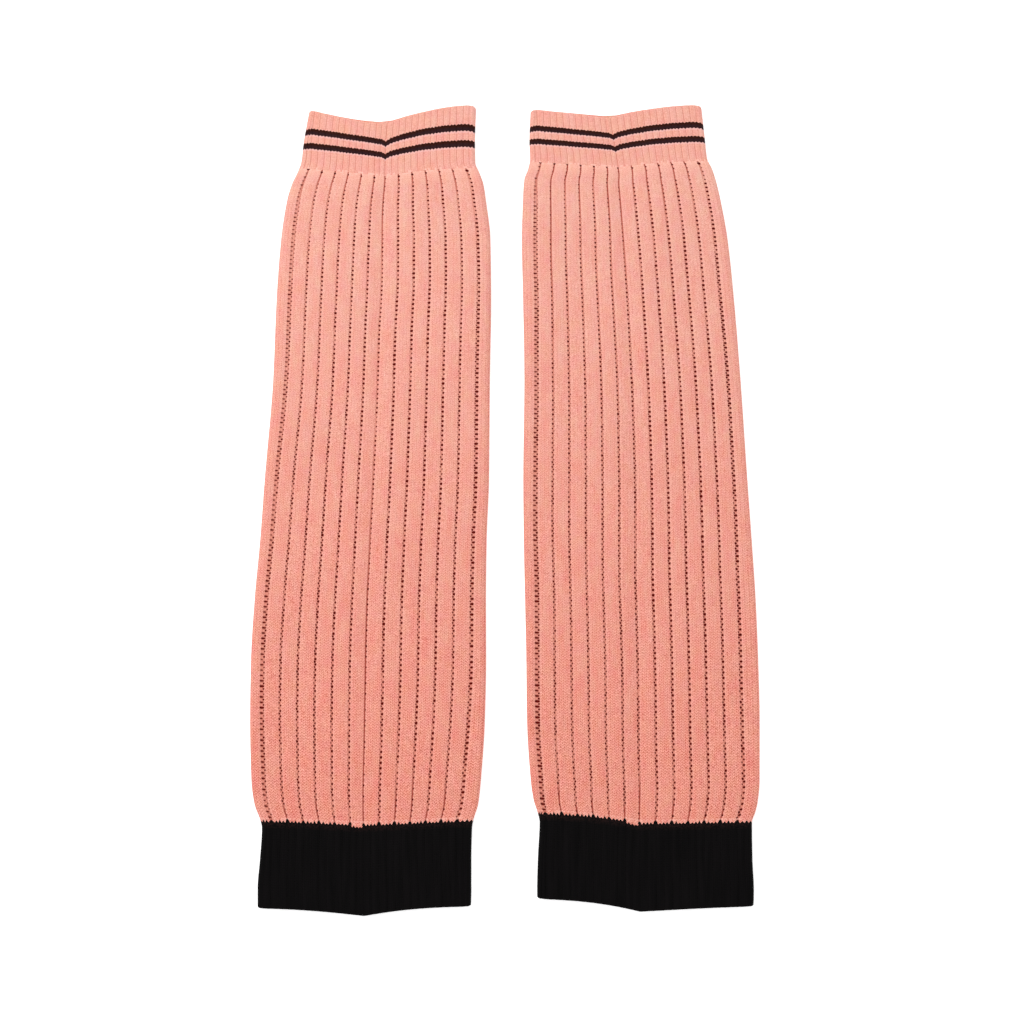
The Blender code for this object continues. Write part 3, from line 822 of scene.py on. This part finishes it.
def make_ribbed(leg, name, first, last, count, finish, free_top):
    """A cuff or a band with one free edge, as a closed shell of fine ribs, and its tube."""
    start, end = COURSES[leg][first].down, COURSES[leg][last].down
    tube = Tube(leg, edge_rows(start, end, ROWS_PER_COURSE * count + 1, free_top))
    courses = count * (tube.down - start) / (end - start)
    from_edge, from_joint = tube.from_top, tube.from_bottom
    if not free_top:
        from_edge, from_joint = from_joint, from_edge
    drop = 1 - np.sqrt(1 - np.clip(1 - from_edge / HEM_ROUNDING, 0, 1) ** 2)
    relief = 0.5 + 0.5 * np.clip(from_joint / JOINT_REACH, 0, 1)
    upper, groove = ribbed_layer(tube, courses, False, drop, relief)
    under, _ = ribbed_layer(tube, courses, True, drop, relief)
    shell = close_shell(tube, courses, upper, {"rim": groove}, under, 1)
    return shell.make(f"{leg}_{name}_knit", finish), tube


# ---------------------------------------------------------------- finishes

def operator(operation, swapped=False):
    """An arithmetic method of Value."""
    def apply(self, other):
        first, second = (other, self) if swapped else (self, other)
        return self.finish.math(operation, first, second)
    return apply


class Value:
    """A socket in a finish, with the arithmetic that its shader maths is written in."""

    def __init__(self, finish, socket):
        self.finish = finish
        self.socket = socket

    __add__ = __radd__ = operator("ADD")
    __sub__ = operator("SUBTRACT")
    __rsub__ = operator("SUBTRACT", True)
    __mul__ = __rmul__ = operator("MULTIPLY")
    __truediv__ = operator("DIVIDE")
    __gt__ = operator("GREATER_THAN")
    __lt__ = operator("LESS_THAN")


class Finish:
    """A material of one Principled shader."""

    def __init__(self, name, **constants):
        self.material = bpy.data.materials.new(name)
        self.material.use_nodes = True
        self.tree = self.material.node_tree
        self.shader = self.tree.nodes["Principled BSDF"]
        for label, value in constants.items():
            self.shader.inputs[label.replace("_", " ")].default_value = value

    def node(self, kind, settings, sockets, output=0):
        """Any other node, and one of its outputs."""
        node = self.tree.nodes.new(kind)
        for label, value in settings.items():
            setattr(node, label, value)
        for label, value in sockets.items():
            self.plug(node.inputs[label], value)
        return Value(self, node.outputs[output])

    def plug(self, socket, value):
        """Link a value to a socket, or set the socket to a constant."""
        if isinstance(value, Value):
            self.tree.links.new(value.socket, socket)
        elif socket.type == "RGBA":
            socket.default_value = (*value, 1.0)
        else:
            socket.default_value = value

    def math(self, operation, first, second=0.0):
        """A maths node."""
        return self.node("ShaderNodeMath", {"operation": operation}, {0: first, 1: second})

    def clamp(self, value):
        """A value kept from 0 to 1."""
        return self.node("ShaderNodeClamp", {}, {"Value": value})

    def mix(self, factor, first, second):
        """A colour between two colours."""
        settings = {"data_type": "RGBA", "clamp_factor": True}
        return self.node("ShaderNodeMix", settings, {0: factor, 6: first, 7: second}, 2)

    def tinted(self, colour, red, green, blue):
        """A colour with each of its parts made stronger or weaker."""
        parts = self.node("ShaderNodeCombineXYZ", {}, {"X": red, "Y": green, "Z": blue})
        return self.node("ShaderNodeVectorMath", {"operation": "MULTIPLY"}, {0: colour, 1: parts})

    def shade(self, colour, amount):
        """A colour made lighter or darker by an amount around 1."""
        return self.tinted(colour, amount, amount, amount)

    def attribute(self, name):
        """One of the shell's point values."""
        return self.node("ShaderNodeAttribute", {"attribute_name": name}, {}, "Fac")

    def knit_map(self):
        """The wale and the course of a point."""
        place = self.node("ShaderNodeUVMap", {"uv_map": "knit"}, {})
        return [self.node("ShaderNodeSeparateXYZ", {}, {"Vector": place}, axis) for axis in "XY"]

    def noise(self, scale, detail, roughness=0.5, stretch=1.0):
        """Smooth noise, which may be drawn out along Y."""
        place = self.node("ShaderNodeTexCoord", {}, {}, "Object")
        if stretch != 1.0:
            place = self.tinted(place, 1.0, 1 / stretch, 1.0)
        sockets = {"Vector": place, "Scale": scale, "Detail": detail, "Roughness": roughness}
        return self.node("ShaderNodeTexNoise", {}, sockets, "Fac")

    def each_cell(self, x, y):
        """A fixed number from 0 to 1 for each cell of a grid."""
        floors = {"X": self.math("FLOOR", x), "Y": self.math("FLOOR", y)}
        cell = self.node("ShaderNodeCombineXYZ", {}, floors)
        return self.node("ShaderNodeTexWhiteNoise", {"noise_dimensions": "2D"}, {"Vector": cell}, "Value")

    def each_wale(self, wale):
        """A fixed number from 0 to 1 for each line between two wales."""
        between = self.math("FLOOR", wale + 0.5)
        return self.node("ShaderNodeTexWhiteNoise", {"noise_dimensions": "1D"}, {"W": between}, "Value")

    def from_ladder(self, wale):
        """How far a wale is right of the nearest ladder, in ribs."""
        return self.math("FRACT", wale / WALES_PER_RIB + 0.5) - 0.5

    def from_side(self, wale):
        """How far a wale of the upper layer is from the nearer folded side."""
        return self.math("MINIMUM", wale, LAYER_WALES - wale)

    def bump(self, height, strength, distance):
        """Give the shader a bumpy surface."""
        sockets = {"Height": height, "Strength": strength, "Distance": distance}
        normal = self.node("ShaderNodeBump", {}, sockets, "Normal")
        self.plug(self.shader.inputs["Normal"], normal)

    def colour(self, value):
        """Give the shader its colour."""
        self.plug(self.shader.inputs["Base Color"], value)


# The colours.
PINK = (0.712, 0.340, 0.274)
PINK_DEEP = (0.690, 0.249, 0.191)      # toward the hem
PINK_LIGHT = (0.860, 0.450, 0.375)     # lighter yarn: the painted highlight along a ladder's edges, and loose stitches
PINK_PALE = (0.800, 0.415, 0.320)      # the looser first courses below a cuff
THREAD = (0.560, 0.200, 0.148)         # the shaded threads that cross a ladder, and the fine grooves
THREAD_DEEP = (0.330, 0.058, 0.040)    # the same where its ribs close over them
MAROON = (0.105, 0.0022, 0.0006)       # the shaded inside, seen through the gaps
STRIPE = (0.0240, 0.0082, 0.0094)
STRIPE_WARM = (0.028, 0.0052, 0.0022)  # its first course
UNDER_STRIPE = (0.71, 0.39, 0.365)     # the paler course below it
BLACK = (0.0022, 0.0017, 0.0019)
BLACK_WARM = (0.0105, 0.0046, 0.0044)  # its first courses, where pink yarn shows between the loops

# The stitches and the yarn. Amounts are parts of the colour, and DEEP is what the hem adds.
TWO_PI = 2 * math.pi
STITCH_LEAN = 0.50          # how much lower a stitch is at its wale's middle, in courses
DEEP_LEAN = 0.24
HEM_COURSES = 260           # how far up from the band the pink deepens
LEVEL = 0.99                # how light the yarn is on the whole
CLOUD, CLOUD_SCALE = 0.05, 26.0        # broad unevenness
STREAK, STREAK_SCALE = 0.42, 260.0     # drawn out along the leg, in green and blue
STREAK_STRETCH = 3.5
WARMTH, WARMTH_SCALE = 0.14, 150.0     # from green to blue
LOOSE = 0.06                # from one stitch to the next
FUZZ, DEEP_FUZZ, FUZZ_SCALE = 1.02, 1.15, 2050.0
ROW_SHADE, DEEP_ROW_SHADE = 0.05, 0.22
LEG_SHADE, DEEP_LEG_SHADE = 0.08, 0.20
MEAN_LEG = 0.64
FURROW, SIDE_FURROW = 0.03, 0.045      # painted shade between the wales, and more of it near a folded side
FURROW_REACH = 5            # how many wales in from the side that is
RED_PART, BLUE_PART = 0.64, 1.12       # how much of this red and blue have, where green has 1

# The gaps of a ladder, in millimetres across and turns along.
GAP_WIDE = 0.80             # how far a gap reaches across from its middle
GAP_LONG = 0.215            # how far it reaches along
GAP_MIDDLE = 0.70           # how far its middle is from the ladder's
GAP_CLOSER = 0.32           # how much nearer that is when the gap is open
GAP_SLIP = 0.2              # how much it slips to either side
GAP_EDGE = 2.5              # how sharp the edge of a gap is
FIRST_SPREAD = 0.47         # how much further out the gaps of the first ladder are
LAST_SPREAD = 0.55          # the same for the last
SIDE_WALES = 6              # the wales from a folded side that belong to its first ladder
LAST_BARS = 0.4             # how much of a bar the last ladder's larger gaps are
LAST_BARS_END, LAST_BARS_FADE = 255, 100         # the course where that ends, and over how many
BAR_SHIFT = 0.45            # the larger gaps of a wide ladder are bars that reach over its middle
BAR_WIDER = 0.50
BAR_SHORTER = -0.045

# How far the black reaches over the joint, in courses.
TOOTH, TOOTH_UNEVEN = 0.4, 0.8         # between two stitches, and how much more it may be
TOOTH_START = -0.05
NOTCH = 0.5                 # into a ladder
NOTCH_SHARP = 2.8           # how fast that ends beside it, for each wale
HANG = 0.9                  # how far the narrowed rib hangs below the joint
HANG_SHARP = 1.6

# How much of another colour the pink has.
TOP_PALE = 0.55             # the body's first courses, of the pale one
TOP_LIGHT, TOP_LOOSE = 0.7, 0.62       # the loosest stitches there, of the light one; which those are
RIM_LIGHT = 0.32            # the painted highlight along the edges of a ladder
HEM_LIGHT, HEM_LOOSE = 0.38, 0.45      # the loose stitches of the body's last courses
LAST_COURSES = 1.7          # how many those are
CUFF_LIGHT, CUFF_LOOSE = 0.7, 0.7      # the same in a cuff's last course
THREAD_PART = 4             # of the thread's colour, for each part of shade
DEEP_START, DEEP_PART = 0.22, 2.8      # the shade from which the deep one comes in, and how fast
FINE_SHADE = 0.19           # between the fine wales of a cuff, of the thread's colour
GROOVE_SHADE = 0.09         # in its grooves
SIDE_SHADE, SIDE_REACH = 0.10, 18      # more near a folded side, and from how many wales
COURSE_SHADE = 0.009        # more for each course down
JOINT_SHADE = 0.5           # more in the last courses
JOINT_COURSES, JOINT_FADE = 3, 1.5     # how many those are, and how fast it comes in
CREASE_SHADE, CREASE_SHARP = 0.4, 4    # along the crease, and how fast that ends for each wale

# The stripes of the cuffs, in courses.
STRIPE_START = 9.5          # how far below the edge the first of the two starts
STRIPE_PITCH = 8.0          # from the start of one to the start of the next
STRIPE_COURSES = 3.4        # how wide one is
STRIPE_EDGE = 0.9           # how wide its warm first course and the pale one below it are
STRIPE_SAG = 0.65           # how fast it rises again beside the crease, for each wale
STRIPE_TOOTH, STRIPE_UNEVEN = 0.30, 0.45         # how far its edge steps between two stitches
STRIPE_PALE = 0.8           # how much of the paler colour the course below it has

# The bands, whose grooves are painted lighter than their ribs, against the shade that their depth gives them.
BAND_GROOVE = 1.1
BAND_STREAK, BAND_STREAK_SCALE, BAND_STRETCH = 1.4, 420.0, 14.0
BAND_FUZZ_SCALE = 1100.0

# How far the surface seems to rise, in metres, and how much of that shows.
BODY_BUMP, RIB_BUMP = 0.00030, 0.00026
BODY_BUMP_PART, RIB_BUMP_PART = 0.6, 0.5

# A stitch's rows, from -1 to 1, its two legs, from 0 to 1, and its lean, from 0 at its wale's middle to 1.
Stitch = namedtuple("Stitch", "rows leg lean")


def stitches(finish, wale, course, deep):
    """The relief of plain stitches."""
    within = finish.math("FRACT", wale)
    lean = finish.math("ABSOLUTE", within * 2 - 1)
    leg = finish.math("ABSOLUTE", finish.math("SINE", within * TWO_PI))
    slope = STITCH_LEAN + DEEP_LEAN * deep
    rows = finish.math("COSINE", (course - lean * slope) * TWO_PI)
    return Stitch(rows, leg, lean)


def pink_yarn(finish, wale, course, knit, deep, columns):
    """The salmon yarn: its colour deepens toward the hem and is uneven at every scale, with painted shade in
    its stitches' relief and between its wales.
    """
    cloud = (finish.noise(CLOUD_SCALE, 2.0) - 0.5) * CLOUD
    fuzz = finish.noise(FUZZ_SCALE, 1.0, 0.7)
    flush = (finish.noise(STREAK_SCALE, 2.0, stretch=STREAK_STRETCH) - 0.5) * STREAK
    warm = (finish.noise(WARMTH_SCALE, 1.0) - 0.5) * WARMTH
    loose = finish.each_cell(wale * 2, course)
    near_side = finish.clamp(1 - finish.from_side(wale) / FURROW_REACH)
    furrow = finish.math("COSINE", wale * TWO_PI) * (near_side * SIDE_FURROW + FURROW) * columns
    stitch = knit.rows * (ROW_SHADE + deep * deep * DEEP_ROW_SHADE)
    stitch = stitch + (knit.leg - MEAN_LEG) * (LEG_SHADE + deep * DEEP_LEG_SHADE)
    # random unevenness and fuzz, with the painted shade of the stitches and of the furrows between wales
    grain_and_shade = stitch + (loose - 0.5) * LOOSE + (fuzz - 0.5) * (FUZZ + DEEP_FUZZ * deep) - furrow
    level = LEVEL + cloud
    red = level + grain_and_shade * RED_PART
    green = level + grain_and_shade + flush + warm
    blue = level + grain_and_shade * BLUE_PART + flush - warm
    return finish.tinted(finish.mix(deep, PINK, PINK_DEEP), red, green, blue), fuzz, loose


def knit_finish(name, roughness, sheen):
    """A new finish of matt yarn."""
    return Finish(name, Roughness=roughness, Specular_IOR_Level=0.06, Sheen_Weight=sheen, Sheen_Roughness=0.5)


def black_edge(finish, wale, lean):
    """How far above the joint the black courses start, in courses.

    They reach up between the stitches of the last pink course and into the ladders, and the narrowed
    rib hangs below the joint.
    """
    beside = finish.math("ABSOLUTE", finish.from_ladder(wale))
    notch = finish.clamp(1 - beside * WALES_PER_RIB * NOTCH_SHARP)
    from_pinched = finish.math("ABSOLUTE", wale - WALES_PER_RIB * (CREASE_LADDER - 0.5))
    hang = finish.clamp((0.5 * WALES_PER_RIB - from_pinched) * HANG_SHARP)
    tooth = lean * (TOOTH + TOOTH_UNEVEN * finish.each_wale(wale)) + TOOTH_START
    return tooth + notch * NOTCH - hang * HANG


def ladder_gaps(finish, wale, course):
    """How much of the inside, in painted shade, shows at a point through the gaps of a ladder's zigzag
    thread.
    """
    across = finish.from_ladder(wale) * (WALES_PER_RIB / MAP_SCALE)
    first = wale < SIDE_WALES
    last = (finish.from_side(wale) < SIDE_WALES) - first
    last = last * finish.clamp((LAST_BARS_END - course) / LAST_BARS_FADE) * LAST_BARS
    spread = first * FIRST_SPREAD + last * LAST_SPREAD + GAP_MIDDLE
    shown = 0.0
    for name, side, middle_row, bar in (("left", -1, 0.5, first), ("right", 1, 2.5, last)):
        turn = course / 2 + (middle_row / ROWS_PER_TURN + 0.5)
        slip = finish.each_cell(wale / WALES_PER_RIB + 0.5, turn)
        size = finish.attribute(name)
        middle = spread - size * GAP_CLOSER - bar * BAR_SHIFT
        beside = (across - middle * side - (slip - 0.5) * GAP_SLIP) / (bar * BAR_WIDER + GAP_WIDE)
        along = (finish.math("FRACT", turn) - 0.5) / (bar * BAR_SHORTER + GAP_LONG)
        shown = finish.clamp((size - beside * beside - along * along) * GAP_EDGE) + shown
    return finish.clamp(shown)


def under_dots(finish, wale, course):
    """The small gaps in the ladders of the lower layer, painted with the inside's shade."""
    beside = finish.math("ABSOLUTE", finish.from_ladder(wale)) * WALES_PER_RIB
    under = wale > LAYER_WALES
    return finish.clamp(1 - beside * 6) * (finish.math("COSINE", course * math.pi) > 0.15) * under


def body_finish():
    """The salmon knit with its ladders. Its courses are counted up from the joint with the band."""
    finish = knit_finish("salmon_ladder_knit", 0.88, 0.03)
    wale, course = finish.knit_map()
    deep = finish.clamp(1.06 - course / HEM_COURSES)
    knit = stitches(finish, wale, course, deep)
    yarn, fuzz, loose = pink_yarn(finish, wale, course, knit, deep, 1.0)
    top = finish.attribute("top")
    yarn = finish.mix(top * TOP_PALE, yarn, PINK_PALE)
    yarn = finish.mix((loose > TOP_LOOSE) * finish.clamp(top * 3 - 2) * TOP_LIGHT, yarn, PINK_LIGHT)
    # painted highlight along the ladders' edges, stronger on their right edges, which face the light
    yarn = finish.mix(finish.attribute("rim") * RIM_LIGHT, yarn, PINK_LIGHT)
    yarn = finish.mix(under_dots(finish, wale, course), yarn, MAROON)
    # painted shade over the threads that cross a ladder, deeper in its closed slits, then the inside's
    # painted shade through its gaps
    dark = finish.attribute("dark")
    yarn = finish.mix(dark * THREAD_PART, yarn, THREAD)
    yarn = finish.mix((dark - DEEP_START) * DEEP_PART, yarn, THREAD_DEEP)
    yarn = finish.mix(ladder_gaps(finish, wale, course), yarn, MAROON)
    yarn = finish.mix((loose > HEM_LOOSE) * (course < LAST_COURSES) * HEM_LIGHT, yarn, PINK_LIGHT)
    black = course < black_edge(finish, wale, knit.lean)
    finish.colour(finish.mix(black, yarn, BLACK))
    finish.bump(knit.rows * 0.4 + knit.leg * 0.3 + fuzz * 0.5, BODY_BUMP_PART, BODY_BUMP)
    return finish.material


def cuff_stripes(finish, yarn, row, fuzz):
    """The yarn with the two stripes over it. row is how many courses below their start a point is."""
    striped = (row > 0) * (row < 2 * STRIPE_PITCH)
    within = finish.math("FRACT", row / STRIPE_PITCH) * STRIPE_PITCH
    stripe = striped * (within < STRIPE_COURSES)
    below = striped * (within > STRIPE_COURSES) * (within < STRIPE_COURSES + STRIPE_EDGE)
    yarn = finish.mix(below * STRIPE_PALE, yarn, UNDER_STRIPE)
    dark = finish.mix(finish.clamp(within - STRIPE_EDGE), STRIPE_WARM, STRIPE)
    return finish.mix(stripe, yarn, finish.shade(dark, 0.7 + 0.6 * fuzz))


def cuff_finish():
    """The salmon ribs with the two stripes. Its courses are counted down from the free edge."""
    finish = knit_finish("salmon_rib_knit", 0.88, 0.03)
    wale, course = finish.knit_map()
    knit = stitches(finish, wale, course, 0.0)
    yarn, fuzz, loose = pink_yarn(finish, wale, course, knit, 0.0, 0.0)
    joint = finish.clamp((course - (CUFF_COURSES - JOINT_COURSES)) / JOINT_FADE)
    fine = finish.math("COSINE", wale * 3 * math.pi)
    yarn = finish.mix((fine * 0.5 + 0.5) * FINE_SHADE, yarn, THREAD)
    near_side = finish.clamp(1 - finish.from_side(wale) / SIDE_REACH)
    shaded = GROOVE_SHADE + SIDE_SHADE * near_side + COURSE_SHADE * course + JOINT_SHADE * joint
    yarn = finish.mix(finish.attribute("rim") * shaded, yarn, THREAD)
    yarn = finish.mix((loose > CUFF_LOOSE) * (course > CUFF_COURSES - 1) * CUFF_LIGHT, yarn, PINK_LIGHT)
    from_crease = finish.math("ABSOLUTE", wale - WALES_PER_RIB * CREASE_LADDER)
    yarn = finish.mix(finish.clamp(1 - from_crease * CREASE_SHARP) * CREASE_SHADE, yarn, THREAD)
    sag = finish.clamp(1 - from_crease * STRIPE_SAG)
    tooth = knit.lean * (STRIPE_TOOTH + STRIPE_UNEVEN * finish.each_wale(wale))
    finish.colour(cuff_stripes(finish, yarn, course - tooth - sag - STRIPE_START, fuzz))
    finish.bump(knit.rows * 0.3 + knit.leg * 0.4 + fuzz * 0.5, RIB_BUMP_PART, RIB_BUMP)
    return finish.material


def band_finish():
    """The black ribs. Its courses are counted down from the joint with the body."""
    finish = knit_finish("black_rib_knit", 0.85, 0.0)
    wale, course = finish.knit_map()
    knit = stitches(finish, wale, course, 0.0)
    stitch = knit.rows * 0.3 + knit.leg * 0.5
    fuzz = finish.noise(BAND_FUZZ_SCALE, 3.0, 0.65)
    streak = finish.noise(BAND_STREAK_SCALE, 1.0, stretch=BAND_STRETCH)
    # painted light in the grooves, with random streaks along the band
    lift = finish.attribute("rim") * BAND_GROOVE + (streak - 0.5) * BAND_STREAK
    # the painted shade of the stitches' relief, with random fuzz; the pink below the joint has the same
    # painted shade
    yarn = finish.shade(BLACK, 0.7 + 0.6 * stitch + (fuzz - 0.5) * 0.7 + lift)
    yarn = finish.mix((fuzz > 0.5) * finish.clamp(1.4 - course / 2), yarn, BLACK_WARM)
    pink = course < 0 - black_edge(finish, wale, knit.lean)
    finish.colour(finish.mix(pink, yarn, finish.shade(PINK_DEEP, 0.75 + 0.5 * stitch)))
    finish.bump(stitch + fuzz * 0.4, RIB_BUMP_PART, RIB_BUMP)
    return finish.material


# ---------------------------------------------------------------- stage, in metres

VIEW_MIDDLE = (0.00397, -0.00074)
CAMERA_HEIGHT = 1.266
CAMERA_LENS = 80.0
CAMERA_SENSOR = 36.0
WORLD_STRENGTH = 0.90
SOFTBOX_SIZE = (1.1, 0.8)
SOFTBOX_ENERGY = 11.5
SOFTBOX_PLACE = (-0.48, 0.55, 1.20)
SOFTBOX_TILT = (math.radians(-24), math.radians(-22), 0.0)
FLOOR_COLOUR = (0.96, 0.96, 0.96)
FLOOR_HALF = 3.0
FLOOR_LEVEL = -0.0002


def add_camera_and_lights():
    """A camera straight above, a white world and a soft light from the upper left."""
    camera_data = bpy.data.cameras.new("camera")
    camera_data.lens = CAMERA_LENS
    camera_data.sensor_width = CAMERA_SENSOR
    bpy.context.scene.camera = add_object("camera", camera_data, (*VIEW_MIDDLE, CAMERA_HEIGHT))
    bpy.context.scene.view_settings.view_transform = "Standard"

    world = bpy.data.worlds.new("studio")
    world.use_nodes = True
    background = world.node_tree.nodes["Background"]
    background.inputs["Color"].default_value = (1.0, 1.0, 1.0, 1.0)
    background.inputs["Strength"].default_value = WORLD_STRENGTH
    bpy.context.scene.world = world

    light_data = bpy.data.lights.new("softbox", "AREA")
    light_data.shape = "RECTANGLE"
    light_data.size, light_data.size_y = SOFTBOX_SIZE
    light_data.energy = SOFTBOX_ENERGY
    add_object("softbox", light_data, SOFTBOX_PLACE).rotation_euler = SOFTBOX_TILT


def add_floor():
    """The pale floor that the pair lies on."""
    finish = Finish("pale_floor", Roughness=0.9, Specular_IOR_Level=0.1, Emission_Strength=0.4)
    speck = finish.noise(60.0, 2.0)
    finish.colour(finish.shade(FLOOR_COLOUR, 0.995 + speck * 0.01))
    corners = [(x * FLOOR_HALF, y * FLOOR_HALF, 0) for x, y in ((-1, -1), (1, -1), (1, 1), (-1, 1))]
    mesh = bpy.data.meshes.new("floor")
    mesh.from_pydata(corners, [], [(0, 1, 2, 3)])
    mesh.materials.append(finish.material)
    add_object("floor", mesh, (0.0, 0.0, FLOOR_LEVEL))


# ---------------------------------------------------------------- the pair

def declare(piece, node):
    """Attach the piece to the root, and hide the solid that it stands for."""
    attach(piece, "root")
    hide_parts(node)


def main():
    """Set the stage, and make the three pieces of each leg warmer."""
    add_camera_and_lights()
    add_floor()
    cuff, body, band = cuff_finish(), body_finish(), band_finish()
    for leg in COURSES:
        piece, tube = make_ribbed(leg, "cuff", CUFF_EDGE, CUFF_END, CUFF_COURSES, cuff, True)
        declare(piece, f"{leg}_cuff")
        piece, tube = make_body(leg, body)
        declare(piece, f"{leg}_body")
        piece, tube = make_ribbed(leg, "band", BAND_START, BAND_EDGE, BAND_COURSES, band, False)
        declare(piece, f"{leg}_band")


main()
